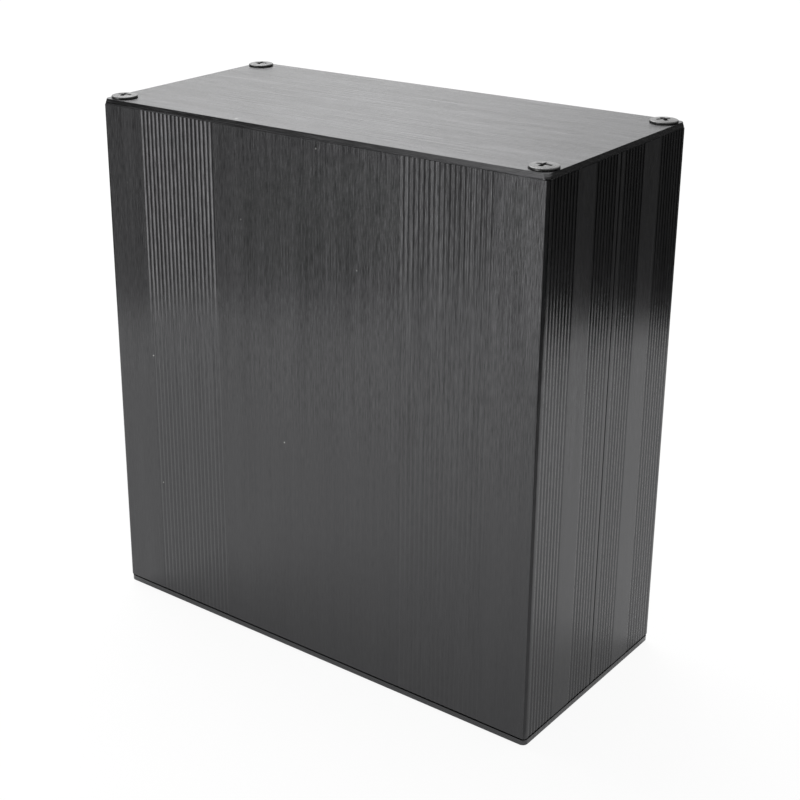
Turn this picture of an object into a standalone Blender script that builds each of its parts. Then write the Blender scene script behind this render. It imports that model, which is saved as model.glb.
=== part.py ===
"""Split-body aluminium project box: two identical grooved half shells, two end plates, eight screws.

The box stands on one end. X runs across the wide faces, Y through the box, Z up along the extrusion.
The origin is under the middle of the box, level with the undersides of the lower screw heads.
"""
import math

import bpy

MM = 0.001

# Overall sizes
BOX_WIDTH = 145.0 * MM
BOX_DEPTH = 68.0 * MM
SHELL_LENGTH = 150.0 * MM
PLATE_THICKNESS = 1.5 * MM

# Clearance between pieces that touch
FIT_GAP = 0.25 * MM

# Half shell section
WALL = 2.0 * MM
SHELL_CORNER_RADIUS = 1.0 * MM
CORNER_STEPS = 4

# Decorative grooves, running the length of the extrusion
GROOVE_PITCH = 1.5 * MM
GROOVE_WIDTH = 1.15 * MM
GROOVE_FLOOR = 0.2 * MM
GROOVE_DEPTH = 0.12 * MM
WIDE_BAND_GROOVES = 18
WIDE_BAND_INSET = 28.05 * MM
SIDE_OUTER_BAND_GROOVES = 8
SIDE_OUTER_BAND_INSET = 7.6 * MM
SIDE_SEAM_BAND_GROOVES = 7
SIDE_SEAM_BAND_OFFSET = 6.9 * MM

# Tongue and groove seam between the halves
OUTER_LIP = 0.9 * MM
INNER_LIP = 1.1 * MM
TONGUE_LENGTH = 1.8 * MM
SEAM_RIB_BASE = 1.5 * MM

# Guides inside for circuit boards, spread between the screw channel and the seam
GUIDE_COUNT = 3
GUIDE_CLEARANCE = 1.15 * MM
GUIDE_SLOT = 1.8 * MM
GUIDE_RIB = 1.2 * MM
GUIDE_HEIGHT = 2.2 * MM

# Self-tapping pan screws
SHANK_RADIUS = 1.2 * MM
NECK_RADIUS = 1.6 * MM
NECK_LENGTH = 0.5 * MM
SCREW_LENGTH = 8.0 * MM
TIP_LENGTH = 2.0 * MM
TIP_RADIUS = 0.3 * MM
HEAD_RADIUS = 3.75 * MM
HEAD_HEIGHT = 0.7 * MM
HEAD_FLAT_RADIUS = 2.95 * MM
HEAD_CROWN = 0.1 * MM
HEAD_EDGE_RADIUS = 0.25 * MM
HEAD_EDGE_STEPS = 3
SCREW_STEPS = 24

# Cross recess in each head
RECESS_SPAN = 5.0 * MM
RECESS_FLOOR_SPAN = 1.4 * MM
RECESS_ARM = 0.95 * MM
RECESS_FLOOR_ARM = 0.5 * MM
RECESS_FLOOR_BELOW_HEAD = 0.45 * MM

# Screw positions, from the outer faces of the box
SCREW_SIDE_INSET = 4.1 * MM
SCREW_FACE_INSET = 4.5 * MM

# Screw channels in the shell corners
CHANNEL_WALL = 1.3 * MM
CHANNEL_MOUTH = 1.3 * MM
CHANNEL_STEPS = 14
BOSS_STEPS = 6

# End plates
PLATE_CORNER_RADIUS = 1.5 * MM
HOLE_STEPS = 24

# How far each screw was turned when it was driven home, in degrees
SCREW_TURNS = {
    "screw_top_front_left": 20.0,
    "screw_top_front_right": 2.0,
    "screw_top_back_left": 12.0,
    "screw_top_back_right": 47.0,
    "screw_bottom_front_left": 15.0,
    "screw_bottom_front_right": 70.0,
    "screw_bottom_back_left": 33.0,
    "screw_bottom_back_right": 51.0,
}

# Worked out from the sizes above
CHANNEL_RADIUS = SHANK_RADIUS + FIT_GAP
BOSS_RADIUS = CHANNEL_RADIUS + CHANNEL_WALL
PLATE_HOLE_RADIUS = NECK_RADIUS + FIT_GAP
SCREW_X = BOX_WIDTH / 2 - SCREW_SIDE_INSET
SCREW_Y = BOX_DEPTH / 2 - SCREW_FACE_INSET
SEAM_Y = -FIT_GAP / 2
TONGUE_DEPTH = OUTER_LIP + FIT_GAP
SLOT_INNER_DEPTH = WALL + FIT_GAP
SEAM_RIB_DEPTH = SLOT_INNER_DEPTH + INNER_LIP
SEAM_RIB_RAMP = SEAM_RIB_DEPTH - WALL
SEAM_RIB_REACH = TONGUE_LENGTH + SEAM_RIB_BASE + SEAM_RIB_RAMP - SEAM_Y
GUIDE_HALF_WIDTH = GUIDE_SLOT / 2 + GUIDE_RIB
GUIDE_FIRST = SCREW_FACE_INSET + BOSS_RADIUS + GUIDE_CLEARANCE + GUIDE_HALF_WIDTH
GUIDE_LAST = BOX_DEPTH / 2 - SEAM_RIB_REACH - GUIDE_CLEARANCE - GUIDE_HALF_WIDTH
GUIDE_PITCH = (GUIDE_LAST - GUIDE_FIRST) / (GUIDE_COUNT - 1)
LOWER_PLATE_Z = HEAD_HEIGHT + FIT_GAP
SHELL_Z = LOWER_PLATE_Z + PLATE_THICKNESS + FIT_GAP
UPPER_PLATE_Z = SHELL_Z + SHELL_LENGTH + FIT_GAP
UPPER_SEAT_Z = UPPER_PLATE_Z + PLATE_THICKNESS + FIT_GAP


def clear_scene():
    for obj in list(bpy.data.objects):
        bpy.data.objects.remove(obj, do_unlink=True)


def new_collection(name):
    collection = bpy.data.collections.new(name)
    bpy.context.scene.collection.children.link(collection)
    return collection


def principled(name, colour, metallic, roughness):
    material = bpy.data.materials.new(name)
    material.use_nodes = True
    shader = material.node_tree.nodes["Principled BSDF"]
    shader.inputs["Base Color"].default_value = (*colour, 1.0)
    shader.inputs["Metallic"].default_value = metallic
    shader.inputs["Roughness"].default_value = roughness
    material.diffuse_color = (*colour, 1.0)
    return material


def shell_material(name):
    return principled(name, (0.045, 0.045, 0.047), 0.85, 0.38)


def plate_material(name):
    return principled(name, (0.07, 0.07, 0.072), 0.9, 0.33)


def screw_material(name):
    return principled(name, (0.08, 0.08, 0.08), 0.9, 0.3)


def arc(centre, radius, start, end, steps):
    """Points on an arc from one angle to another, in degrees, both ends included."""
    points = []
    for step in range(steps + 1):
        angle = math.radians(start + (end - start) * step / steps)
        x = centre[0] + radius * math.cos(angle)
        y = centre[1] + radius * math.sin(angle)
        points.append((x, y))
    return points


def flat_outline(name, outlines, thickness, collection):
    """Solid of a flat outline, centred on its own XY plane; later outlines are holes."""
    curve = bpy.data.curves.new(name, "CURVE")
    curve.dimensions = "2D"
    curve.fill_mode = "BOTH"
    curve.extrude = thickness / 2
    for outline in outlines:
        spline = curve.splines.new("POLY")
        spline.points.add(len(outline) - 1)
        for point, (x, y) in zip(spline.points, outline):
            point.co = (x, y, 0.0, 1.0)
        spline.use_cyclic_u = True
    obj = bpy.data.objects.new(name, curve)
    collection.objects.link(obj)
    return obj


def band(middle, count):
    """Places of the grooves in a band, in order, measured along a face."""
    first = middle - GROOVE_PITCH * (count - 1) / 2
    return [first + GROOVE_PITCH * index for index in range(count)]


def groove_run(start, along, inward, places):
    """Outline of a row of grooves on a face that starts at a point and runs one way."""
    half_floor = GROOVE_FLOOR / 2
    half_width = GROOVE_WIDTH / 2
    shape = ((-half_width, 0.0), (-half_floor, GROOVE_DEPTH), (half_floor, GROOVE_DEPTH), (half_width, 0.0))
    points = []
    for place in places:
        for offset, depth in shape:
            x = start[0] + along[0] * (place + offset) + inward[0] * depth
            y = start[1] + along[1] * (place + offset) + inward[1] * depth
            points.append((x, y))
    return points


def outer_outline():
    """Outside of the front half, from the seam on the right, round the front, to the left seam."""
    half_width = BOX_WIDTH / 2
    half_depth = BOX_DEPTH / 2
    radius = SHELL_CORNER_RADIUS
    seam_band = band(SIDE_SEAM_BAND_OFFSET, SIDE_SEAM_BAND_GROOVES)
    outer_band = band(half_depth - SIDE_OUTER_BAND_INSET, SIDE_OUTER_BAND_GROOVES)
    side_places = seam_band + outer_band
    near_band = band(WIDE_BAND_INSET, WIDE_BAND_GROOVES)
    far_band = band(BOX_WIDTH - WIDE_BAND_INSET, WIDE_BAND_GROOVES)

    points = [(half_width, SEAM_Y)]
    points += groove_run((half_width, 0.0), (0, -1), (-1, 0), side_places)
    points += arc((half_width - radius, -half_depth + radius), radius, 0, -90, CORNER_STEPS)
    points += groove_run((half_width, -half_depth), (-1, 0), (0, 1), near_band + far_band)
    points += arc((-half_width + radius, -half_depth + radius), radius, -90, -180, CORNER_STEPS)
    left_places = [half_depth - place for place in reversed(side_places)]
    points += groove_run((-half_width, -half_depth), (0, 1), (1, 0), left_places)
    points.append((-half_width, SEAM_Y))
    return points


def corner_channel():
    """Inside of the front left corner: the screw boss with its open channel, from side to front wall."""
    centre = (-SCREW_X, -SCREW_Y)
    side_reach = SCREW_SIDE_INSET - WALL
    front_reach = SCREW_FACE_INSET - WALL
    side_angle = 180 - math.degrees(math.acos(side_reach / BOSS_RADIUS))
    front_angle = -math.degrees(math.asin(front_reach / BOSS_RADIUS))
    outer_half = math.degrees(math.asin(CHANNEL_MOUTH / 2 / BOSS_RADIUS))
    inner_half = math.degrees(math.asin(CHANNEL_MOUTH / 2 / CHANNEL_RADIUS))
    mouth = 45.0
    points = arc(centre, BOSS_RADIUS, side_angle, mouth + outer_half, BOSS_STEPS)
    points += arc(centre, CHANNEL_RADIUS, mouth + inner_half, 360 + mouth - inner_half, CHANNEL_STEPS)
    points += arc(centre, BOSS_RADIUS, mouth - outer_half, front_angle, BOSS_STEPS)
    return points


def guide_ribs():
    """Inside of the left wall: pairs of ribs that hold a board's edge, from the front upwards."""
    wall_x = -BOX_WIDTH / 2 + WALL
    rib_x = wall_x + GUIDE_HEIGHT
    points = []
    for index in range(GUIDE_COUNT):
        middle = -BOX_DEPTH / 2 + GUIDE_FIRST + GUIDE_PITCH * index
        for rib_start in (middle - GUIDE_HALF_WIDTH, middle + GUIDE_SLOT / 2):
            rib_end = rib_start + GUIDE_RIB
            points += [(wall_x, rib_start), (rib_x, rib_start), (rib_x, rib_end), (wall_x, rib_end)]
    return points


def mirrored(points):
    """The same outline on the other side, walked the other way."""
    return [(-x, y) for x, y in reversed(points)]


def tongue_end():
    """End of the left wall: a tongue on the inner part of its thickness."""
    left = -BOX_WIDTH / 2
    tip = SEAM_Y + TONGUE_LENGTH
    return [(left + TONGUE_DEPTH, SEAM_Y), (left + TONGUE_DEPTH, tip), (left + WALL, tip)]


def slot_end():
    """End of the right wall: a thicker rib with the slot that takes the other half's tongue."""
    right = BOX_WIDTH / 2
    slot_floor = SEAM_Y - TONGUE_LENGTH
    rib_start = slot_floor - SEAM_RIB_BASE
    return [
        (right - WALL, rib_start - SEAM_RIB_RAMP),
        (right - SEAM_RIB_DEPTH, rib_start),
        (right - SEAM_RIB_DEPTH, SEAM_Y),
        (right - SLOT_INNER_DEPTH, SEAM_Y),
        (right - SLOT_INNER_DEPTH, slot_floor),
        (right - OUTER_LIP, slot_floor),
        (right - OUTER_LIP, SEAM_Y),
    ]


def shell_outline():
    """Section of the front half shell; the rear half is the same section turned half round."""
    left_inside = list(reversed(guide_ribs())) + corner_channel()
    return outer_outline() + tongue_end() + left_inside + mirrored(left_inside) + slot_end()


def build_shells(collection):
    shell_middle = SHELL_Z + SHELL_LENGTH / 2
    front = flat_outline("front_half_shell", [shell_outline()], SHELL_LENGTH, collection)
    front.location = (0.0, 0.0, shell_middle)
    front.data.materials.append(shell_material("front_shell_anodised"))

    rear = flat_outline("rear_half_shell", [shell_outline()], SHELL_LENGTH, collection)
    rear.location = (0.0, 0.0, shell_middle)
    rear.rotation_euler = (0.0, 0.0, math.pi)
    rear.data.materials.append(shell_material("rear_shell_anodised"))


def plate_outline():
    half_width = BOX_WIDTH / 2 - PLATE_CORNER_RADIUS
    half_depth = BOX_DEPTH / 2 - PLATE_CORNER_RADIUS
    points = []
    for x_side, y_side, start in ((1, 1, 0), (-1, 1, 90), (-1, -1, 180), (1, -1, 270)):
        centre = (x_side * half_width, y_side * half_depth)
        points += arc(centre, PLATE_CORNER_RADIUS, start, start + 90, CORNER_STEPS)
    return points


def screw_hole(x, y):
    return arc((x, y), PLATE_HOLE_RADIUS, 0, 360, HOLE_STEPS)[:-1]


def build_end_plate(name, underside, collection):
    outlines = [plate_outline()]
    for x in (-SCREW_X, SCREW_X):
        for y in (-SCREW_Y, SCREW_Y):
            outlines.append(screw_hole(x, y))
    plate = flat_outline(name, outlines, PLATE_THICKNESS, collection)
    plate.location = (0.0, 0.0, underside + PLATE_THICKNESS / 2)
    plate.data.materials.append(plate_material(name + "_anodised"))


def screw_profile():
    """Half section of a screw, head up, from its flat top down the outside to the tip."""
    edge_middle = (HEAD_RADIUS - HEAD_EDGE_RADIUS, HEAD_HEIGHT - HEAD_CROWN - HEAD_EDGE_RADIUS)
    points = [(0.0, HEAD_HEIGHT), (HEAD_FLAT_RADIUS, HEAD_HEIGHT)]
    points += arc(edge_middle, HEAD_EDGE_RADIUS, 90, 0, HEAD_EDGE_STEPS)
    points += [
        (HEAD_RADIUS, 0.0),
        (NECK_RADIUS, 0.0),
        (SHANK_RADIUS, -NECK_LENGTH),
        (SHANK_RADIUS, TIP_LENGTH - SCREW_LENGTH),
        (TIP_RADIUS, -SCREW_LENGTH),
        (0.0, -SCREW_LENGTH),
    ]
    return points


def turned_solid(name, profile, collection):
    """Solid turned about Z from a half section in the XZ plane."""
    mesh = bpy.data.meshes.new(name)
    edges = [(index, index + 1) for index in range(len(profile) - 1)]
    mesh.from_pydata([(x, 0.0, z) for x, z in profile], edges, [])
    obj = bpy.data.objects.new(name, mesh)
    collection.objects.link(obj)
    turn = obj.modifiers.new("Turn", "SCREW")
    turn.axis = "Z"
    turn.steps = SCREW_STEPS
    turn.render_steps = SCREW_STEPS
    turn.use_merge_vertices = True
    turn.merge_threshold = 0.000001
    return obj


def recess_blade(name, turn, collection):
    """Tapered blade that cuts one bar of the cross recess."""
    top = HEAD_HEIGHT + FIT_GAP
    floor = -RECESS_FLOOR_BELOW_HEAD
    depth = HEAD_HEIGHT - floor
    grow = (top - floor) / depth
    top_span = RECESS_FLOOR_SPAN + (RECESS_SPAN - RECESS_FLOOR_SPAN) * grow
    top_arm = RECESS_FLOOR_ARM + (RECESS_ARM - RECESS_FLOOR_ARM) * grow
    bpy.ops.mesh.primitive_cube_add(size=1.0)
    blade = bpy.context.object
    blade.name = name
    for corner in blade.data.vertices:
        upper = corner.co.z > 0
        span = top_span if upper else RECESS_FLOOR_SPAN
        arm = top_arm if upper else RECESS_FLOOR_ARM
        corner.co.x *= span
        corner.co.y *= arm
        corner.co.z = top if upper else floor
    blade.rotation_euler = (0.0, 0.0, turn)
    blade.hide_render = True
    blade.display_type = "WIRE"
    for owner in list(blade.users_collection):
        owner.objects.unlink(blade)
    collection.objects.link(blade)
    return blade


def screw_mesh(collection, cutters):
    """Mesh shared by all the screws: the turned blank with its cross recess cut."""
    blank = turned_solid("screw_blank", screw_profile(), collection)
    for number, turn in enumerate((0.0, math.pi / 2)):
        cut = blank.modifiers.new("Recess", "BOOLEAN")
        cut.operation = "DIFFERENCE"
        cut.solver = "EXACT"
        cut.object = recess_blade("recess_blade_%d" % number, turn, cutters)
    bpy.context.view_layer.update()
    evaluated = blank.evaluated_get(bpy.context.evaluated_depsgraph_get())
    mesh = bpy.data.meshes.new_from_object(evaluated)
    bpy.data.objects.remove(blank, do_unlink=True)
    mesh.name = "self_tapping_screw"
    mesh.materials.clear()
    mesh.materials.append(screw_material("screw_black_steel"))
    mesh.shade_smooth()
    mesh.set_sharp_from_angle(angle=math.radians(35))
    return mesh


def build_screws(collection, cutters):
    mesh = screw_mesh(collection, cutters)
    for name, degrees in SCREW_TURNS.items():
        upper = "_top_" in name
        x = SCREW_X if name.endswith("right") else -SCREW_X
        y = -SCREW_Y if "_front_" in name else SCREW_Y
        z = UPPER_SEAT_Z if upper else HEAD_HEIGHT
        tilt = 0.0 if upper else math.pi
        screw = bpy.data.objects.new(name, mesh)
        screw.location = (x, y, z)
        screw.rotation_euler = (tilt, 0.0, math.radians(degrees))
        collection.objects.link(screw)


def main():
    clear_scene()
    project_box = new_collection("project_box")
    cutters = new_collection("cutters")
    build_shells(project_box)
    build_end_plate("bottom_end_plate", LOWER_PLATE_Z, project_box)
    build_end_plate("top_end_plate", UPPER_PLATE_Z, project_box)
    build_screws(project_box, cutters)


main()
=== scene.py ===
"""Looks for an aluminium project box: two grooved half shells, two end plates and eight screws.

The box stands on one end. X runs across the wide faces, Y through the box and Z up along the extrusion.
"""

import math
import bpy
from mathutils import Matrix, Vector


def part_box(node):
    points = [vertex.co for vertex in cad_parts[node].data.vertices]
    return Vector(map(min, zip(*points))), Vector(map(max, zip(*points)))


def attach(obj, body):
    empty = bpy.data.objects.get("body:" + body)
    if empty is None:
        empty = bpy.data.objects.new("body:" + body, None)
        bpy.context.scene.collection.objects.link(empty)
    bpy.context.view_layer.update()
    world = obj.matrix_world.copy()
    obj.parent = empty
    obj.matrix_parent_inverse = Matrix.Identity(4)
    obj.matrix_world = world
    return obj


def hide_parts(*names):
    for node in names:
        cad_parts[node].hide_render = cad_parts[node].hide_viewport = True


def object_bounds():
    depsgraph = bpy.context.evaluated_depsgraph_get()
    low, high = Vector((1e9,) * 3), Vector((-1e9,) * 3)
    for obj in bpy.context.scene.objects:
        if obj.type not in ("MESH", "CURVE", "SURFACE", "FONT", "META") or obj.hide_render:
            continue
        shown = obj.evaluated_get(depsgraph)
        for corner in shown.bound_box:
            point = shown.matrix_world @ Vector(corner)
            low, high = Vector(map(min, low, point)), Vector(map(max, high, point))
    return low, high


bl_info = {
    "name": "Project Box Finish",
    "version": (1, 0, 0),
    "blender": (4, 5, 0),
    "location": "3D View > Sidebar > Project Box",
    "description": "Models a split-body aluminium box, its end plates and screws, with their finishes",
    "category": "Object",
}

import bmesh
import bpy
from bpy.props import FloatProperty, FloatVectorProperty, IntProperty, PointerProperty
from mathutils import Euler, Matrix, Vector

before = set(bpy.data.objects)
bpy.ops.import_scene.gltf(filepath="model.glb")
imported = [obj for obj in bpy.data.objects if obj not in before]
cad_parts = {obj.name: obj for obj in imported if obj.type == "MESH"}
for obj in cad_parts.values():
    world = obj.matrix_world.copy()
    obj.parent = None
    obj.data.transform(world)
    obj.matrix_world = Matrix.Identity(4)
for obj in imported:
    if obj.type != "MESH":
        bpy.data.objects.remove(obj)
CAD_LOW, CAD_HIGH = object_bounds()

MM = 0.001
# Points closer than this are one point, and those left by the cut of the recess may lie a little further apart
WELD = 0.001 * MM
CUT_WELD = 4 * WELD
# Faces that meet at less than this angle, in degrees, are one flat face
FLAT_DEGREES = 0.5
# Share of an edge's length that must lie along an axis for the two to count as parallel
PARALLEL = 0.999
# Edges that bend more than this, in degrees, are shaded sharp
SHARP_DEGREES = 30.0
SCREW_SHARP_DEGREES = 32.0

SHELLS = {"front_half_shell": "front_shell", "rear_half_shell": "rear_shell"}
PLATES = {"top_end_plate": "top_plate", "bottom_end_plate": "bottom_plate"}

# Edges this close to the middle of a narrow side belong to the seam
SEAM_REACH = 0.5 * MM

# Depths below the outer faces: less than any, the faces with their lands, and the floors of the grooves
OUTERMOST = -1.0
LAND_DEPTH = 0.05 * MM
FLOOR_DEPTH = 0.35 * MM
# Depths down to which the end of a shell and the edge of a plate lean in
SHELL_SKIN = 0.4 * MM
PLATE_RIM = 1.6 * MM

# How far each screw was turned when it was driven home, in degrees
SCREW_TURNS = {
    "screw_top_front_left": 20.0,
    "screw_top_front_right": 2.0,
    "screw_top_back_left": 12.0,
    "screw_top_back_right": 47.0,
    "screw_bottom_front_left": 15.0,
    "screw_bottom_front_right": 70.0,
    "screw_bottom_back_left": 33.0,
    "screw_bottom_back_right": 51.0,
}

# Dust and small nicks: x, y and z of each, its radius, all in millimetres, and how pale it is
MARKS = {
    "front_half_shell": (
        (4.5, -34.0, 150.8, 0.30, 0.9),
        (-64.5, -34.0, 131.2, 0.22, 0.5),
        (-21.7, -34.0, 127.7, 0.25, 0.8),
        (17.5, -34.0, 120.9, 0.25, 0.8),
        (-57.6, -34.0, 80.1, 0.28, 0.9),
        (-7.8, -34.0, 65.9, 0.28, 0.9),
        (-56.1, -34.0, 39.4, 0.25, 0.7),
        (72.5, -8.2, 114.3, 0.28, 0.9),
    ),
    "top_end_plate": ((-24.1, -31.9, 154.45, 0.5, 0.9),),
}
DUST = "#A0A09E"

# Mean of the noise that draws the die lines, and how far either side of it the tint still changes
NOISE_MEAN = 0.476
NOISE_REACH = 0.13
# Values of any noise between which the roughness changes
NOISE_LOW = 0.3
NOISE_HIGH = 0.7
# Heights between which the die lines come up to their full strength
FADE_LOW = 0.06
FADE_HIGH = 0.13

# The cutters of the recess stand this far above the head, so that they cut right through its top
CUTTER_RISE = 0.3 * MM

# How bright the room is where the metal mirrors it, against white, by the compass angle in degrees.
# X is 0 and Y is 90. The first list is for below the table's edge, the second for just above it.
ROOM_BELOW = (
    (181, 0.12), (200, 0.14), (206, 0.25), (214, 0.66), (224, 0.6), (230, 0.52), (236, 0.45),
    (241, 0.48), (244, 2.2), (252, 2.9), (256, 2.0), (263, 1.0), (269, 0.2), (280, 0.08), (359, 0.06),
    (10, 0.02), (49, 0.02), (57, 0.16), (67, 0.16), (75, 0.02), (98, 0.02), (110, 0.3), (179, 0.25),
)
ROOM_ABOVE = (
    (181, 0.04), (224, 0.01), (231, 0.12), (236, 0.5), (240, 1.8), (250, 2.8), (260, 0.8), (270, 0.12),
    (359, 0.08), (60, 0.08), (90, 0.3), (120, 0.8), (150, 0.8), (179, 0.2),
)
# The ramps hold each level as a share of this, as their colours stop at 1
ROOM_STRENGTH = 4.0
# Rise of a mirrored ray between which it leaves the table's edge, and between which it reaches the ceiling
EDGE_LOW, EDGE_HIGH = -0.12, -0.02
CEILING_LOW, CEILING_HIGH = 0.12, 0.45
# Share of white with which the room lights matt surfaces, where the camera sees plain white
ROOM_LIGHT = 0.6

# Sector of the dark card in front of the near corner
FLAG_FROM = math.radians(-94)
FLAG_SWEEP = math.radians(108)
# Distances from the corner between which the card darkens, and its brightness at each against white
FLAG_NEAR = 0.12
FLAG_FAR = 0.36
FLAG_NEAR_LEVEL = 0.5
FLAG_FAR_LEVEL = 0.12

# The photo's camera, solved from the box's straight edges and its grooves: metres, degrees and frame widths
CAMERA_PLACE = (0.247263, -0.333428, 0.243255)
CAMERA_ANGLES = (69.2304, 0.8096, 39.4309)
CAMERA_SHIFT = (0.125, -0.066)


def to_linear(code):
    """Linear colour of an sRGB hex value such as #484848."""
    values = []
    for start in (1, 3, 5):
        level = int(code[start:start + 2], 16) / 255
        values.append(level / 12.92 if level <= 0.04045 else ((level + 0.055) / 1.055) ** 2.4)
    return tuple(values)


def length(name, description, default, low=0.0, high=1.0):
    return FloatProperty(name=name, description=description, default=default, min=low, max=high,
                         precision=5, unit="LENGTH", subtype="DISTANCE")


def colour(name, description, code):
    return FloatVectorProperty(name=name, description=description, default=to_linear(code),
                               min=0.0, max=1.0, size=3, subtype="COLOR")


def share(name, description, default):
    return FloatProperty(name=name, description=description, default=default,
                         min=0.0, max=1.0, subtype="FACTOR")


class HalfShellSettings(bpy.types.PropertyGroup):
    land_radius: length("Land edge", "Rounding of the edges between the grooves", 0.06 * MM)
    floor_radius: length("Groove floor", "Rounding at the bottom of each groove", 0.05 * MM)
    seam_radius: length("Seam edge", "Rounding of the edges along the seam between the halves", 0.22 * MM)
    seat: length("Seat", "How far the upper end closes up towards its plate", 0.17 * MM)
    end_band: length("Deburred band", "Height of the deburred band at the lower sawn end", 0.2 * MM)
    end_lean: length("Deburred lean", "How far the deburred band leans in", 0.15 * MM)
    metal: colour("Metal", "Black anodised aluminium of the half shells", "#4B4B4C")
    pale: share("Streak", "How much paler the die lines are", 0.6)
    fade: share("Fade", "How much of the die lines is left near the lower end", 0.2)
    roughness: share("Roughness", "Roughness of the satin surface", 0.19)
    brushing: share("Brushing", "How far the die lines stretch the highlights", 0.2)
    relief: length("Relief", "Depth of the die lines", 0.05 * MM)
    grazing: share("Grazing tint", "How much of the sheen the dyed oxide lets through at a low angle", 0.85)


class EndPlateSettings(bpy.types.PropertyGroup):
    corner_radius: length("Corner smoothing", "Width of the extra facets on the corners", 0.12 * MM)
    edge_radius: length("Edge", "Rounding of the sheet's edges", 0.08 * MM)
    broken_band: length("Broken band", "Height of the upright band along the foot of the edge", 0.3 * MM)
    roll_over: length("Roll over", "How far the upper sheet's edge leans in towards its top", 0.28 * MM)
    metal: colour("Metal", "Black anodised aluminium of the end plates", "#464647")
    # Paler than the faces: partly the plain sheared metal, partly painted reflection
    edge_metal_and_painted_reflection: colour("Sheared edge", "Sheared edge of the sheet", "#525253")
    pale: share("Streak", "How much paler the brushed streaks are", 0.5)
    roughness: share("Roughness", "Roughness of the brushed surface", 0.33)
    edge_roughness: share("Edge roughness", "Roughness of the sheared edge", 0.17)
    brushing: share("Brushing", "How far the brushing stretches the highlights", 0.6)
    relief: length("Relief", "Depth of the brush lines", 0.18 * MM)


class ScrewSettings(bpy.types.PropertyGroup):
    head_radius: length("Head radius", "Radius of the pan head", 3.75 * MM)
    head_height: length("Head height", "Height of the head above the plate", 0.93 * MM)
    dome: length("Dome", "How much the middle of the head stands above its shoulder", 0.22 * MM)
    shoulder: length("Shoulder", "Radius of the rounded shoulder", 0.35 * MM)
    shank_radius: length("Shank radius", "Radius at the root of the thread", 1.15 * MM)
    shank_length: length("Shank length", "Length under the head", 8.2 * MM)
    thread_radius: length("Thread radius", "Radius at the crest of the thread", 1.4 * MM)
    thread_pitch: length("Thread pitch", "Rise of the thread in one turn", 1.1 * MM)
    recess_span: length("Recess span", "Length of each bar of the cross at the top", 4.3 * MM)
    recess_arm: length("Recess arm", "Width of each bar of the cross at the top", 1.2 * MM)
    recess_depth: length("Recess depth", "Depth of the cross recess", 1.15 * MM)
    steps: IntProperty(name="Steps", description="Sides of each turned shape", default=64, min=16, max=128)
    metal: colour("Metal", "Black zinc plated steel", "#555555")
    # Painted shade: the colour that darkens the cross recess, standing in for the shade inside it
    recess: colour("Recess", "Oil and thick plating in the recess", "#1A1A1A")
    roughness: share("Roughness", "Roughness of the plating", 0.28)


class StudioSettings(bpy.types.PropertyGroup):
    lens: FloatProperty(name="Lens", description="Focal length in mm on a 36 mm frame",
                        default=69.844, min=10.0)
    table_radius: length("Table radius", "Radius of the white table that the metal reflects", 0.342)
    floor_radius: length("Floor radius", "Radius of the pale floor round the table", 4.0, high=20.0)
    floor: colour("Floor", "Pale floor", "#F4F4F4")
    glow: share("Backdrop white", "Share of plain white in what the camera sees of the floor", 0.93)
    mirrored_glow: share("Mirrored white", "Share of white in what the metal mirrors of the table", 0.42)
    top_light: FloatProperty(name="Top light", description="Power of the overhead softbox in watts",
                             default=30.0)
    back_light: FloatProperty(name="Back light", description="Power of the softbox behind in watts",
                              default=3.6)


def add_node(tree, kind, inputs=None, stops=None, **settings):
    """Adds a node, sets what it is told, and links each input that is given another node's output."""
    node = tree.nodes.new(kind)
    for key, value in settings.items():
        setattr(node, key, value)
    for key, value in (inputs or {}).items():
        if isinstance(value, bpy.types.NodeSocket):
            tree.links.new(value, node.inputs[key])
        else:
            node.inputs[key].default_value = value
    for number, (place, shade) in enumerate(stops or ()):
        elements = node.color_ramp.elements
        element = elements[number] if number < 2 else elements.new(place)
        element.position = place
        element.color = (*shade, 1.0)
    return node


def new_material(name):
    material = bpy.data.materials.new(name)
    material.use_nodes = True
    material.node_tree.nodes.clear()
    return material, material.node_tree


def streaks(tree, place, grain, detail):
    """Brushed streaks from stretched noise; grain is how many there are in a metre along each axis."""
    stretched = add_node(tree, "ShaderNodeMapping", {"Vector": place, "Scale": grain})
    noise = add_node(tree, "ShaderNodeTexNoise", {"Vector": stretched.outputs["Vector"], "Scale": 1.0,
                                                  "Detail": detail, "Roughness": 0.6})
    return noise.outputs["Fac"]


def lighter(metal, amount):
    """The metal's colour made lighter by a share of itself, or darker where the share is negative."""
    return tuple(min(1.0, part * (1.0 + amount)) for part in metal)


def dusted(tree, tint, place, spots):
    """The finish with its dust and nicks, each a small pale round mark."""
    dust = (*to_linear(DUST), 1.0)
    for x, y, z, radius, paleness in spots:
        middle = (x * MM, y * MM, z * MM)
        away = add_node(tree, "ShaderNodeVectorMath", {0: place, 1: middle}, operation="DISTANCE")
        pale = add_node(tree, "ShaderNodeMapRange", {
            "Value": away.outputs["Value"], "From Min": radius * MM / 2, "From Max": radius * MM,
            "To Min": paleness, "To Max": 0.0}).outputs["Result"]
        tint = add_node(tree, "ShaderNodeMix", {"Factor": pale, "A": tint, "B": dust},
                        data_type="RGBA").outputs["Result"]
    return tint


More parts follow.
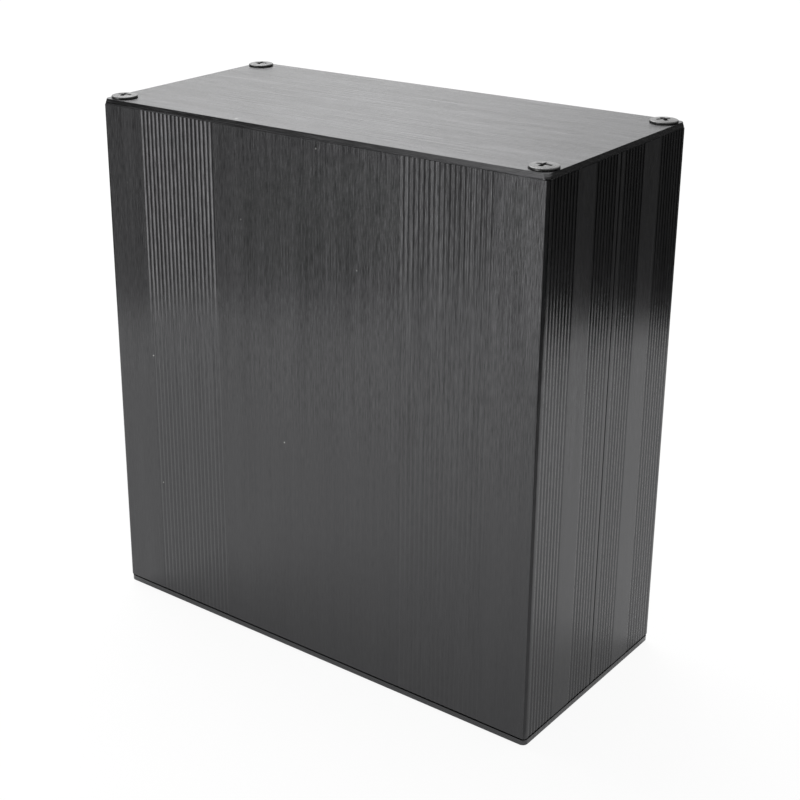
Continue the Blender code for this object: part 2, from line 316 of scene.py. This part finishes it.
def shell_finish(name, settings, spots):
    """Anodised aluminium extrusion: a dark satin metal with the fine upright lines that the die leaves."""
    material, tree = new_material(name)
    coordinates = add_node(tree, "ShaderNodeTexCoord")
    place = coordinates.outputs["Object"]
    # Die lines are about 0.25 mm wide, some 3 mm and some 30 mm long, drawn deeper than real ones to show
    brief = streaks(tree, place, (4000.0, 4000.0, 300.0), 2.0)
    drawn = streaks(tree, place, (4000.0, 4000.0, 30.0), 2.0)
    fine = add_node(tree, "ShaderNodeMix", {"Factor": 0.42, "A": brief, "B": drawn},
                    data_type="FLOAT").outputs["Result"]
    # Wider soft bands, about 4 mm across, where the die was more worn
    wide = streaks(tree, place, (260.0, 260.0, 12.0), 2.0)
    both = add_node(tree, "ShaderNodeMix", {"Factor": 0.14, "A": fine, "B": wide},
                    data_type="FLOAT").outputs["Result"]
    # The lines fade towards the lower end, to the mean of the noise, on which the tint is centred
    height = add_node(tree, "ShaderNodeSeparateXYZ", {"Vector": place}).outputs["Z"]
    kept = add_node(tree, "ShaderNodeMapRange", {
        "Value": height, "From Min": FADE_LOW, "From Max": FADE_HIGH, "To Min": settings.fade}).outputs["Result"]
    both = add_node(tree, "ShaderNodeMix", {"Factor": kept, "A": NOISE_MEAN, "B": both},
                    data_type="FLOAT").outputs["Result"]
    metal = tuple(settings.metal)
    stops = ((NOISE_MEAN - NOISE_REACH, lighter(metal, -settings.pale)),
             (NOISE_MEAN + NOISE_REACH, lighter(metal, settings.pale)))
    tint = add_node(tree, "ShaderNodeValToRGB", {"Fac": both}, stops).outputs["Color"]
    rough = add_node(tree, "ShaderNodeMapRange", {
        "Value": both, "From Min": NOISE_LOW, "From Max": NOISE_HIGH, "To Min": settings.roughness - 0.03,
        "To Max": settings.roughness + 0.04}).outputs["Result"]
    tint = dusted(tree, tint, place, spots)
    # Only the wide faces have relief: it would break up the fine grooves of the narrow ones and the slopes
    facing = add_node(tree, "ShaderNodeSeparateXYZ", {"Vector": coordinates.outputs["Normal"]}).outputs["Y"]
    square = add_node(tree, "ShaderNodeMath", {0: facing}, operation="ABSOLUTE").outputs["Value"]
    strength = add_node(tree, "ShaderNodeMapRange", {
        "Value": square, "From Min": 0.98, "From Max": 0.995}).outputs["Result"]
    bump = add_node(tree, "ShaderNodeBump", {
        "Height": fine, "Strength": strength, "Distance": settings.relief})
    tangent = add_node(tree, "ShaderNodeTangent", direction_type="RADIAL", axis="Z")
    shader = add_node(tree, "ShaderNodeBsdfPrincipled", {
        "Base Color": tint, "Metallic": 1.0, "Roughness": rough, "Anisotropic": settings.brushing,
        "Specular Tint": (settings.grazing, settings.grazing, settings.grazing, 1.0),
        "Normal": bump.outputs["Normal"], "Tangent": tangent.outputs["Tangent"]})
    add_node(tree, "ShaderNodeOutputMaterial", {"Surface": shader.outputs["BSDF"]})
    return material


def plate_finish(name, settings, spots):
    """Anodised aluminium sheet, brushed across its width: satin metal, with a sheared edge that shows darker,
    though its own colour is paler, partly as painted reflection.
    """
    material, tree = new_material(name)
    coordinates = add_node(tree, "ShaderNodeTexCoord")
    place = coordinates.outputs["Object"]
    # Brush lines are about 0.8 mm wide and 20 mm long, drawn coarser than real ones so that they show
    fine = streaks(tree, place, (50.0, 1200.0, 1200.0), 3.0)
    wide = streaks(tree, place, (12.0, 300.0, 300.0), 2.0)
    both = add_node(tree, "ShaderNodeMix", {"Factor": 0.3, "A": fine, "B": wide},
                    data_type="FLOAT").outputs["Result"]
    metal = tuple(settings.metal)
    stops = ((0.32, lighter(metal, -settings.pale)), (0.68, lighter(metal, settings.pale)))
    tint = add_node(tree, "ShaderNodeValToRGB", {"Fac": both}, stops).outputs["Color"]
    # The sheared edge is plain, so the brushed tint and roughness are kept to the faces that lie level
    up = add_node(tree, "ShaderNodeSeparateXYZ", {"Vector": coordinates.outputs["Normal"]}).outputs["Z"]
    level = add_node(tree, "ShaderNodeMath", {0: up}, operation="ABSOLUTE").outputs["Value"]
    flat = add_node(tree, "ShaderNodeMapRange", {
        "Value": level, "From Min": 0.5, "From Max": 0.9}).outputs["Result"]
    # Painted reflection: the sheared edge's colour is paler than the faces', partly standing in for the light that
    # it mirrors
    edge = (*settings.edge_metal_and_painted_reflection, 1.0)
    tint = add_node(tree, "ShaderNodeMix", {"Factor": flat, "A": edge, "B": tint},
                    data_type="RGBA").outputs["Result"]
    tint = dusted(tree, tint, place, spots)
    rough = add_node(tree, "ShaderNodeMapRange", {
        "Value": both, "From Min": NOISE_LOW, "From Max": NOISE_HIGH, "To Min": settings.roughness - 0.04,
        "To Max": settings.roughness + 0.06}).outputs["Result"]
    rough = add_node(tree, "ShaderNodeMix", {"Factor": flat, "A": settings.edge_roughness, "B": rough},
                     data_type="FLOAT").outputs["Result"]
    bump = add_node(tree, "ShaderNodeBump", {"Height": fine, "Strength": 1.0, "Distance": settings.relief})
    tangent = add_node(tree, "ShaderNodeTangent", direction_type="RADIAL", axis="X")
    shader = add_node(tree, "ShaderNodeBsdfPrincipled", {
        "Base Color": tint, "Metallic": 1.0, "Roughness": rough, "Anisotropic": settings.brushing,
        "Normal": bump.outputs["Normal"], "Tangent": tangent.outputs["Tangent"]})
    add_node(tree, "ShaderNodeOutputMaterial", {"Surface": shader.outputs["BSDF"]})
    return material


def screw_finish(name, settings):
    """Steel with black zinc plating: a smooth dark grey metal, slightly mottled, with painted shade in its cross
    recess.
    """
    material, tree = new_material(name)
    place = add_node(tree, "ShaderNodeTexCoord").outputs["Object"]
    # Mottling about 0.6 mm across, from the plating bath
    mottle = streaks(tree, place, (1600.0, 1600.0, 1600.0), 3.0)
    metal = tuple(settings.metal)
    stops = ((NOISE_LOW, lighter(metal, -0.2)), (NOISE_HIGH, lighter(metal, 0.2)))
    tint = add_node(tree, "ShaderNodeValToRGB", {"Fac": mottle}, stops).outputs["Color"]
    # Painted shade: the recess is darker than the top, from just inside its rim
    recess_shade_mask = add_node(tree, "ShaderNodeAttribute", attribute_name="recess").outputs["Fac"]
    recess_shade = add_node(tree, "ShaderNodeMapRange", {"Value": recess_shade_mask, "From Max": 0.35}).outputs["Result"]
    recess = (*settings.recess, 1.0)
    tint = add_node(tree, "ShaderNodeMix", {"Factor": recess_shade, "A": tint, "B": recess},
                    data_type="RGBA").outputs["Result"]
    rough = add_node(tree, "ShaderNodeMapRange", {
        "Value": mottle, "From Min": NOISE_LOW, "From Max": NOISE_HIGH, "To Min": settings.roughness - 0.05,
        "To Max": settings.roughness + 0.07}).outputs["Result"]
    bump = add_node(tree, "ShaderNodeBump", {"Height": mottle, "Strength": 0.2, "Distance": 0.02 * MM})
    shader = add_node(tree, "ShaderNodeBsdfPrincipled", {
        "Base Color": tint, "Metallic": 1.0, "Roughness": rough, "Normal": bump.outputs["Normal"]})
    add_node(tree, "ShaderNodeOutputMaterial", {"Surface": shader.outputs["BSDF"]})
    return material


def welded_copy(node):
    """A node's shape with its loose triangles joined and its flat faces made whole."""
    shape = bmesh.new()
    shape.from_mesh(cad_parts[node].data)
    bmesh.ops.remove_doubles(shape, verts=shape.verts, dist=WELD)
    bmesh.ops.dissolve_limit(shape, angle_limit=math.radians(FLAT_DEGREES), verts=shape.verts, edges=shape.edges)
    return shape


def round_edges(shape, edges, width, segments):
    bmesh.ops.bevel(shape, geom=edges, offset=width, offset_type="OFFSET", affect="EDGES", segments=segments,
                    profile=0.5, material=-1, clamp_overlap=True)


def runs_along(edge, axis):
    """Whether an edge is parallel to an axis, 0 for X to 2 for Z."""
    step = edge.verts[1].co - edge.verts[0].co
    return abs(step[axis]) > PARALLEL * step.length


def depth_below_faces(point):
    """How far a point lies in from the box's nearest wide or narrow face."""
    return min(CAD_HIGH.x - abs(point.x), CAD_HIGH.y - abs(point.y))


def lean_rim(shape, line, rim_z, lean, outside):
    """Leans the outer faces in, from nothing at one level to the whole lean at a piece's end."""
    bmesh.ops.bisect_plane(shape, geom=shape.verts[:] + shape.edges[:] + shape.faces[:], dist=WELD / 10,
                           plane_co=(0, 0, line), plane_no=(0, 0, 1))
    rim = [v for v in shape.verts if abs(v.co.z - rim_z) < WELD and depth_below_faces(v.co) < outside]
    if not rim:
        raise RuntimeError("no rim was found to lean in")
    bmesh.ops.scale(shape, verts=rim, vec=(1.0 - lean / CAD_HIGH.x, 1.0 - lean / CAD_HIGH.y, 1.0))


def bends(edge, degrees=3.0):
    """Whether the two faces at an edge meet at more than an angle."""
    return len(edge.link_faces) == 2 and edge.calc_face_angle() > math.radians(degrees)


def new_piece(name, shape, material):
    """Object of a finished shape, shaded smooth but for its sharp edges."""
    mesh = bpy.data.meshes.new(name)
    shape.to_mesh(mesh)
    shape.free()
    mesh.materials.append(material)
    mesh.shade_smooth()
    mesh.set_sharp_from_angle(angle=math.radians(SHARP_DEGREES))
    piece = bpy.data.objects.new(name, mesh)
    bpy.context.scene.collection.objects.link(piece)
    return piece


def apply_modifiers(piece):
    """Leaves the piece with the mesh that its modifiers make."""
    bpy.context.view_layer.update()
    done = piece.evaluated_get(bpy.context.evaluated_depsgraph_get())
    mesh = bpy.data.meshes.new_from_object(done, preserve_all_data_layers=True,
                                           depsgraph=bpy.context.evaluated_depsgraph_get())
    old = piece.data
    piece.modifiers.clear()
    piece.data = mesh
    mesh.name = piece.name
    bpy.data.meshes.remove(old)


def keep_flats_flat(piece):
    """Makes the large flat faces set the shading of the small curved ones beside them."""
    weighted = piece.modifiers.new("Flat faces", "WEIGHTED_NORMAL")
    weighted.mode = "FACE_AREA"
    weighted.weight = 100
    weighted.keep_sharp = True
    apply_modifiers(piece)


def stands_for(piece, node):
    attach(piece, "root")
    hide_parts(node)


class PROJECTBOX_OT_half_shells(bpy.types.Operator):
    """Model both half shells with softened grooves and corners, in brushed black anodised aluminium"""
    bl_idname = "projectbox.half_shells"
    bl_label = "Half Shells"

    def execute(self, context):
        settings = context.scene.projectbox_shells
        for node, slot in SHELLS.items():
            shape = welded_copy(node)
            self.round_outside(shape, settings.land_radius, OUTERMOST, LAND_DEPTH)
            self.round_outside(shape, settings.floor_radius, LAND_DEPTH, FLOOR_DEPTH)
            self.round_outside(shape, settings.seam_radius, OUTERMOST, LAND_DEPTH, seam=True)
            low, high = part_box(node)
            lean_rim(shape, low.z + settings.end_band, low.z, settings.end_lean, SHELL_SKIN)
            upper = [v for v in shape.verts if v.co.z > high.z - WELD]
            bmesh.ops.translate(shape, verts=upper, vec=(0.0, 0.0, settings.seat))
            finish = shell_finish(slot + "_black_anodised_brushed", settings, MARKS.get(node, ()))
            piece = new_piece(node + "_extrusion", shape, finish)
            keep_flats_flat(piece)
            stands_for(piece, node)
        return {"FINISHED"}

    def round_outside(self, shape, width, nearest, farthest, seam=False):
        """Rounds the upright edges between two depths below the outer faces, at the seam or away from it."""
        edges = []
        for edge in shape.edges:
            depth = depth_below_faces(edge.verts[0].co)
            at_seam = abs(edge.verts[0].co.y) < SEAM_REACH
            if nearest < depth < farthest and at_seam == seam and runs_along(edge, 2) and bends(edge):
                edges.append(edge)
        if not edges:
            raise RuntimeError("no groove edges were found on a half shell")
        round_edges(shape, edges, width, 2)


class PROJECTBOX_OT_end_plates(bpy.types.Operator):
    """Model both end plates with softened edges, in black anodised sheet brushed across its width"""
    bl_idname = "projectbox.end_plates"
    bl_label = "End Plates"

    def execute(self, context):
        settings = context.scene.projectbox_plates
        for node, slot in PLATES.items():
            shape = welded_copy(node)
            upright = [e for e in shape.edges
                       if runs_along(e, 2) and depth_below_faces(e.verts[0].co) < PLATE_RIM and bends(e)]
            round_edges(shape, upright, settings.corner_radius, 2)
            if node == "top_end_plate":
                # A guillotine leaves the edge leaning in above an upright broken band
                low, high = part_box(node)
                lean_rim(shape, low.z + settings.broken_band, high.z, settings.roll_over, PLATE_RIM)
            rim = [e for e in shape.edges
                   if not runs_along(e, 2) and depth_below_faces(e.verts[0].co) < PLATE_RIM and bends(e, 8.0)]
            if not rim:
                raise RuntimeError("no outer edge was found on " + node)
            round_edges(shape, rim, settings.edge_radius, 3)
            finish = plate_finish(slot + "_black_anodised_brushed", settings, MARKS.get(node, ()))
            piece = new_piece(node + "_sheet", shape, finish)
            keep_flats_flat(piece)
            stands_for(piece, node)
        return {"FINISHED"}


class PROJECTBOX_OT_screws(bpy.types.Operator):
    """Model the eight self-tapping pan screws with cross recesses and threads, in black plated steel"""
    bl_idname = "projectbox.screws"
    bl_label = "Screws"

    def execute(self, context):
        settings = context.scene.projectbox_screws
        finish = screw_finish("screw_black_zinc_plated", settings)
        pattern = self.recessed_blank(settings, finish)
        for node, degrees in SCREW_TURNS.items():
            low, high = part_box(node)
            upper = "_top_" in node
            seat_z = high.z - settings.head_height if upper else low.z + settings.head_height
            middle = (low + high) / 2
            turn = Matrix.Rotation(0.0 if upper else math.pi, 4, "X")
            swing = Matrix.Rotation(math.radians(degrees), 4, "Z")
            piece = bpy.data.objects.new(node + "_self_tapping", pattern.copy())
            piece.data.name = piece.name
            piece.data.transform(Matrix.Translation((middle.x, middle.y, seat_z)) @ swing @ turn)
            context.scene.collection.objects.link(piece)
            stands_for(piece, node)
        bpy.data.meshes.remove(pattern)
        return {"FINISHED"}

    def profile(self, settings):
        """Half section, from the top of the head down the outside to the tip, with the seat at zero."""
        radius = settings.head_radius
        height = settings.head_height
        shoulder = settings.shoulder
        flat = radius - shoulder
        rings = 6
        points = []
        for step in range(rings + 1):
            reach = step / rings
            points.append((flat * reach, height - settings.dome * reach * reach))
        edge_z = height - settings.dome - shoulder
        for step in range(1, rings + 1):
            angle = math.radians(90 - 90 / rings * step)
            points.append((flat + shoulder * math.cos(angle), edge_z + shoulder * math.sin(angle)))
        broken_edge = 0.08 * MM
        points += [(radius, broken_edge), (radius - broken_edge, 0.0)]
        neck_radius, neck_length = 1.5 * MM, 0.3 * MM
        points += [(neck_radius, 0.0), (settings.shank_radius, -neck_length)]
        tip_radius, tip_length = 0.3 * MM, 2.0 * MM
        points += [(settings.shank_radius, tip_length - settings.shank_length)]
        points += [(tip_radius, -settings.shank_length), (0.0, -settings.shank_length)]
        return points

    def turned(self, settings):
        shape = bmesh.new()
        ring = [shape.verts.new((x, 0.0, z)) for x, z in self.profile(settings)]
        wires = [shape.edges.new(pair) for pair in zip(ring, ring[1:])]
        bmesh.ops.spin(shape, geom=ring + wires, cent=(0, 0, 0), axis=(0, 0, 1), angle=2 * math.pi,
                       steps=settings.steps, use_merge=True)
        bmesh.ops.remove_doubles(shape, verts=shape.verts, dist=WELD)
        bmesh.ops.recalc_face_normals(shape, faces=shape.faces)
        return shape

    def blade(self, settings, swing):
        """Tapered bar that cuts one arm pair of the cross."""
        shape = bmesh.new()
        bmesh.ops.create_cube(shape, size=1.0)
        floor = settings.head_height - settings.recess_depth
        top = settings.head_height + CUTTER_RISE
        grow = (top - floor) / settings.recess_depth
        floor_span, floor_arm = 1.4 * MM, 0.5 * MM
        for corner in shape.verts:
            upper = corner.co.z > 0
            span = floor_span + (settings.recess_span - floor_span) * (grow if upper else 0.0)
            arm = floor_arm + (settings.recess_arm - floor_arm) * (grow if upper else 0.0)
            corner.co = Vector((corner.co.x * span, corner.co.y * arm, top if upper else floor))
        corner_radius = 0.12 * MM
        upright = [e for e in shape.edges if abs(e.verts[0].co.z - e.verts[1].co.z) > MM / 10]
        round_edges(shape, upright, corner_radius, 3)
        bmesh.ops.rotate(shape, verts=shape.verts, cent=(0, 0, 0), matrix=Matrix.Rotation(swing, 3, "Z"))
        return shape

    def centre_cone(self, settings):
        """Cone that widens the middle of the cross, as the driver's tip needs."""
        shape = bmesh.new()
        below_bars = 0.1 * MM
        tip_radius, mouth_radius = 0.3 * MM, 1.05 * MM
        floor = settings.head_height - settings.recess_depth - below_bars
        top = settings.head_height + CUTTER_RISE
        bmesh.ops.create_cone(shape, cap_ends=True, segments=24, radius1=tip_radius, radius2=mouth_radius,
                              depth=top - floor)
        bmesh.ops.translate(shape, verts=shape.verts, vec=(0, 0, (top + floor) / 2))
        return shape

    def thread(self, settings):
        """Ridge that winds down the shank and fades out at both ends."""
        shape = bmesh.new()
        rooted = 0.1 * MM
        half = 0.32 * MM
        start = -0.9 * MM
        bare = 1.9 * MM
        sides = 24
        root = settings.shank_radius - rooted
        crest = settings.thread_radius
        steps = int((settings.shank_length - bare) / settings.thread_pitch * sides)
        section = ((root, 0, start - half), (crest, 0, start), (root, 0, start + half))
        corners = [shape.verts.new(point) for point in section]
        face = shape.faces.new(corners)
        bmesh.ops.spin(shape, geom=[face] + face.edges[:] + corners, cent=(0, 0, 0), axis=(0, 0, 1),
                       dvec=(0, 0, -settings.thread_pitch / sides), angle=steps * 2 * math.pi / sides, steps=steps)
        low = min(v.co.z for v in shape.verts)
        high = max(v.co.z for v in shape.verts)
        fade = settings.thread_pitch
        for corner in shape.verts:
            away = min(corner.co.z - low, high - corner.co.z)
            if away < fade and corner.co.xy.length > root:
                wanted = root + (corner.co.xy.length - root) * away / fade
                corner.co.xy = corner.co.xy * (wanted / corner.co.xy.length)
        bmesh.ops.recalc_face_normals(shape, faces=shape.faces)
        return shape

    def clean_cuts(self, shape):
        """Clears the slivers and doubled faces that the cuts leave, so that the mesh is closed."""
        bmesh.ops.remove_doubles(shape, verts=shape.verts, dist=CUT_WELD)
        bmesh.ops.triangulate(shape, faces=shape.faces)
        bmesh.ops.dissolve_degenerate(shape, dist=CUT_WELD, edges=shape.edges)
        bmesh.ops.triangulate(shape, faces=shape.faces)
        alike = {}
        for face in shape.faces:
            alike.setdefault(frozenset(face.verts), []).append(face)
        doubled = [face for faces in alike.values() if len(faces) > 1 for face in faces]
        bmesh.ops.delete(shape, geom=doubled, context="FACES")

    def mark_painted_recess_shade(self, shape, settings):
        """Gives every point below the domed top and within the cross the value 1, and all the others 0: where the
        painted shade of the recess goes.
        """
        layer = shape.verts.layers.float.new("recess")
        flat = settings.head_radius - settings.shoulder
        below_bars, below_top = 0.15 * MM, 0.05 * MM
        widest = 0.55 * settings.recess_span
        floor = settings.head_height - settings.recess_depth - below_bars
        for corner in shape.verts:
            reach = corner.co.xy.length
            sunk = settings.head_height - settings.dome * (reach / flat) ** 2 - corner.co.z
            if reach < widest and sunk > below_top and corner.co.z > floor:
                corner[layer] = 1.0

    def recessed_blank(self, settings, finish):
        """Mesh shared by all the screws: the turned blank, its cross recess and its thread."""
        blank = new_piece("screw_blank", self.turned(settings), finish)
        cutters = []
        shapes = (self.blade(settings, 0.0), self.blade(settings, math.pi / 2), self.centre_cone(settings))
        for number, shape in enumerate(shapes):
            cutter = new_piece("recess_cutter_%d" % number, shape, finish)
            cut = blank.modifiers.new("Recess", "BOOLEAN")
            cut.operation = "DIFFERENCE"
            cut.solver = "EXACT"
            cut.object = cutter
            cutters.append(cutter)
        apply_modifiers(blank)
        for cutter in cutters:
            old = cutter.data
            bpy.data.objects.remove(cutter, do_unlink=True)
            bpy.data.meshes.remove(old)
        thread = new_piece("screw_thread", self.thread(settings), finish)
        joined = bmesh.new()
        joined.from_mesh(blank.data)
        joined.from_mesh(thread.data)
        self.clean_cuts(joined)
        self.mark_painted_recess_shade(joined, settings)
        mesh = bpy.data.meshes.new("screw_pattern")
        joined.to_mesh(mesh)
        joined.free()
        mesh.materials.append(finish)
        mesh.shade_smooth()
        mesh.set_sharp_from_angle(angle=math.radians(SCREW_SHARP_DEGREES))
        for spare in (blank, thread):
            old = spare.data
            bpy.data.objects.remove(spare, do_unlink=True)
            bpy.data.meshes.remove(old)
        return mesh


class PROJECTBOX_OT_studio(bpy.types.Operator):
    """Set up the floor, the soft light and the camera"""
    bl_idname = "projectbox.studio"
    bl_label = "Studio"

    def execute(self, context):
        settings = context.scene.projectbox_studio
        self.world(context.scene)
        self.floor(settings)
        self.corner_flag()
        self.lights(context.scene, settings)
        self.camera(context.scene, settings)
        context.scene.view_settings.view_transform = "Standard"
        return {"FINISHED"}

    def room_stops(self, levels):
        """Stops of a colour ramp for the brightness of the room by compass angle."""
        return sorted(((angle / 360 + 0.5) % 1.0, (level / ROOM_STRENGTH,) * 3) for angle, level in levels)

    def world(self, scene):
        """White behind everything for the camera; what the metal mirrors is a dim room under a white ceiling."""
        world = bpy.data.worlds.new("studio_room")
        world.use_nodes = True
        tree = world.node_tree
        tree.nodes.clear()
        path = add_node(tree, "ShaderNodeLightPath")
        direction = add_node(tree, "ShaderNodeTexCoord").outputs["Generated"]
        azimuth = add_node(tree, "ShaderNodeTexGradient", {"Vector": direction},
                           gradient_type="RADIAL").outputs["Fac"]
        rise = add_node(tree, "ShaderNodeSeparateXYZ", {"Vector": direction}).outputs["Z"]
        past_edge = add_node(tree, "ShaderNodeMapRange", {
            "Value": rise, "From Min": EDGE_LOW, "From Max": EDGE_HIGH}).outputs["Result"]
        ceiling = add_node(tree, "ShaderNodeMapRange", {
            "Value": rise, "From Min": CEILING_LOW, "From Max": CEILING_HIGH}).outputs["Result"]
        below = add_node(tree, "ShaderNodeValToRGB", {"Fac": azimuth}, self.room_stops(ROOM_BELOW))
        above = add_node(tree, "ShaderNodeValToRGB", {"Fac": azimuth}, self.room_stops(ROOM_ABOVE))
        walls = add_node(tree, "ShaderNodeMix", {
            "Factor": past_edge, "A": below.outputs["Color"], "B": above.outputs["Color"]},
            data_type="RGBA").outputs["Result"]
        white = (1 / ROOM_STRENGTH, 1 / ROOM_STRENGTH, 1 / ROOM_STRENGTH, 1.0)
        room = add_node(tree, "ShaderNodeMix", {"Factor": ceiling, "A": walls, "B": white},
                        data_type="RGBA").outputs["Result"]
        level = add_node(tree, "ShaderNodeMapRange", {
            "Value": path.outputs["Is Camera Ray"], "To Min": ROOM_LIGHT})
        plain = add_node(tree, "ShaderNodeBackground", {"Color": (1.0, 1.0, 1.0, 1.0),
                                                        "Strength": level.outputs["Result"]})
        mirrored = add_node(tree, "ShaderNodeBackground", {"Color": room, "Strength": ROOM_STRENGTH})
        both = add_node(tree, "ShaderNodeMixShader", {0: path.outputs["Is Glossy Ray"],
                                                      1: plain.outputs["Background"],
                                                      2: mirrored.outputs["Background"]})
        add_node(tree, "ShaderNodeOutputWorld", {"Surface": both.outputs["Shader"]})
        scene.world = world

    def pale_paint(self, settings):
        """Pale matt paint, seen by the camera and by the metal as nearly white but for the shadow on it."""
        material, tree = new_material("pale_floor")
        path = add_node(tree, "ShaderNodeLightPath")
        seen = add_node(tree, "ShaderNodeMath", {0: path.outputs["Is Camera Ray"], 1: settings.glow},
                        operation="MULTIPLY").outputs["Value"]
        factor = add_node(tree, "ShaderNodeMath", {
            0: path.outputs["Is Glossy Ray"], 1: settings.mirrored_glow, 2: seen},
            operation="MULTIPLY_ADD").outputs["Value"]
        paint = add_node(tree, "ShaderNodeBsdfDiffuse", {"Color": (*settings.floor, 1.0)})
        white = add_node(tree, "ShaderNodeEmission", {"Color": (1.0, 1.0, 1.0, 1.0), "Strength": 1.0})
        mix = add_node(tree, "ShaderNodeMixShader", {0: factor, 1: paint.outputs["BSDF"],
                                                     2: white.outputs["Emission"]})
        add_node(tree, "ShaderNodeOutputMaterial", {"Surface": mix.outputs["Shader"]})
        return material

    def floor(self, settings):
        """A round white table, and the pale floor round it, which the metal doesn't mirror."""
        paint = self.pale_paint(settings)
        shape = bmesh.new()
        bmesh.ops.create_circle(shape, cap_ends=True, segments=96, radius=settings.table_radius)
        new_piece("studio_table", shape, paint)
        shape = bmesh.new()
        near = shape.verts.new((settings.table_radius, 0.0, 0.0))
        far = shape.verts.new((settings.floor_radius, 0.0, 0.0))
        edge = shape.edges.new((near, far))
        bmesh.ops.spin(shape, geom=[near, far, edge], cent=(0, 0, 0), axis=(0, 0, 1), angle=2 * math.pi,
                       steps=96, use_merge=True)
        bmesh.ops.recalc_face_normals(shape, faces=shape.faces)
        floor = new_piece("studio_floor", shape, paint)
        floor.visible_glossy = False

    def corner_flag(self):
        """Dark card on the table in front of the near corner, seen only in the metal, to show the corner."""
        shape = bmesh.new()
        start = Vector((CAD_HIGH.x + MM, CAD_LOW.y - MM, MM))
        near = shape.verts.new(start)
        far = shape.verts.new(start + Vector((math.cos(FLAG_FROM), math.sin(FLAG_FROM), 0.0)))
        edge = shape.edges.new((near, far))
        bmesh.ops.spin(shape, geom=[near, far, edge], cent=start, axis=(0, 0, 1), angle=FLAG_SWEEP, steps=12)
        bmesh.ops.remove_doubles(shape, verts=shape.verts, dist=WELD)
        bmesh.ops.recalc_face_normals(shape, faces=shape.faces)
        material, tree = new_material("dark_card")
        # The foot of the corner mirrors the card close by, where it is paler, and the top mirrors it far out
        place = add_node(tree, "ShaderNodeTexCoord").outputs["Object"]
        away = add_node(tree, "ShaderNodeVectorMath", {0: place, 1: start}, operation="DISTANCE")
        level = add_node(tree, "ShaderNodeMapRange", {
            "Value": away.outputs["Value"], "From Min": FLAG_NEAR, "From Max": FLAG_FAR,
            "To Min": FLAG_NEAR_LEVEL, "To Max": FLAG_FAR_LEVEL}).outputs["Result"]
        card = add_node(tree, "ShaderNodeEmission", {"Color": (1.0, 1.0, 1.0, 1.0), "Strength": level})
        add_node(tree, "ShaderNodeOutputMaterial", {"Surface": card.outputs["Emission"]})
        flag = new_piece("corner_flag", shape, material)
        flag.visible_camera = False
        flag.visible_diffuse = False
        flag.visible_shadow = False
        flag.visible_transmission = False

    def lights(self, scene, settings):
        # Each lamp's name, place, the point it faces, the side of its square and its power
        lamps = (
            ("top_softbox", (-0.8, 0.4, 1.4), (0.0, 0.0, 0.08), 1.4, settings.top_light),
            ("back_softbox", (-0.9, 1.5, 0.9), (0.0, 0.0, 0.1), 1.5, settings.back_light),
        )
        for name, place, aim, size, power in lamps:
            data = bpy.data.lights.new(name, "AREA")
            data.shape = "SQUARE"
            data.size = size
            data.energy = power
            lamp = bpy.data.objects.new(name, data)
            lamp.location = place
            lamp.rotation_euler = (Vector(place) - Vector(aim)).to_track_quat("Z", "Y").to_euler()
            lamp.visible_camera = False
            scene.collection.objects.link(lamp)

    def camera(self, scene, settings):
        data = bpy.data.cameras.new("studio_camera")
        data.sensor_width = 36.0
        data.lens = settings.lens
        data.shift_x, data.shift_y = CAMERA_SHIFT
        data.clip_start = 0.01
        data.clip_end = 20.0
        camera = bpy.data.objects.new("studio_camera", data)
        camera.location = CAMERA_PLACE
        camera.rotation_euler = Euler([math.radians(angle) for angle in CAMERA_ANGLES])
        scene.collection.objects.link(camera)
        scene.camera = camera


class PROJECTBOX_PT_sidebar(bpy.types.Panel):
    """Sizes and finishes of the project box"""
    bl_idname = "PROJECTBOX_PT_sidebar"
    bl_label = "Project Box"
    bl_space_type = "VIEW_3D"
    bl_region_type = "UI"
    bl_category = "Project Box"

    def draw(self, context):
        for name, (group, operator) in GROUPS.items():
            box = self.layout.box()
            box.operator(operator.bl_idname)
            settings = getattr(context.scene, name)
            for key in group.__annotations__:
                box.prop(settings, key)


GROUPS = {
    "projectbox_shells": (HalfShellSettings, PROJECTBOX_OT_half_shells),
    "projectbox_plates": (EndPlateSettings, PROJECTBOX_OT_end_plates),
    "projectbox_screws": (ScrewSettings, PROJECTBOX_OT_screws),
    "projectbox_studio": (StudioSettings, PROJECTBOX_OT_studio),
}


def register():
    for name, (group, operator) in GROUPS.items():
        bpy.utils.register_class(group)
        bpy.utils.register_class(operator)
        setattr(bpy.types.Scene, name, PointerProperty(type=group))
    bpy.utils.register_class(PROJECTBOX_PT_sidebar)


def unregister():
    bpy.utils.unregister_class(PROJECTBOX_PT_sidebar)
    for name, (group, operator) in reversed(list(GROUPS.items())):
        delattr(bpy.types.Scene, name)
        bpy.utils.unregister_class(operator)
        bpy.utils.unregister_class(group)


def main():
    register()
    bpy.ops.projectbox.half_shells()
    bpy.ops.projectbox.end_plates()
    bpy.ops.projectbox.screws()
    bpy.ops.projectbox.studio()


if __name__ == "__main__":
    main()
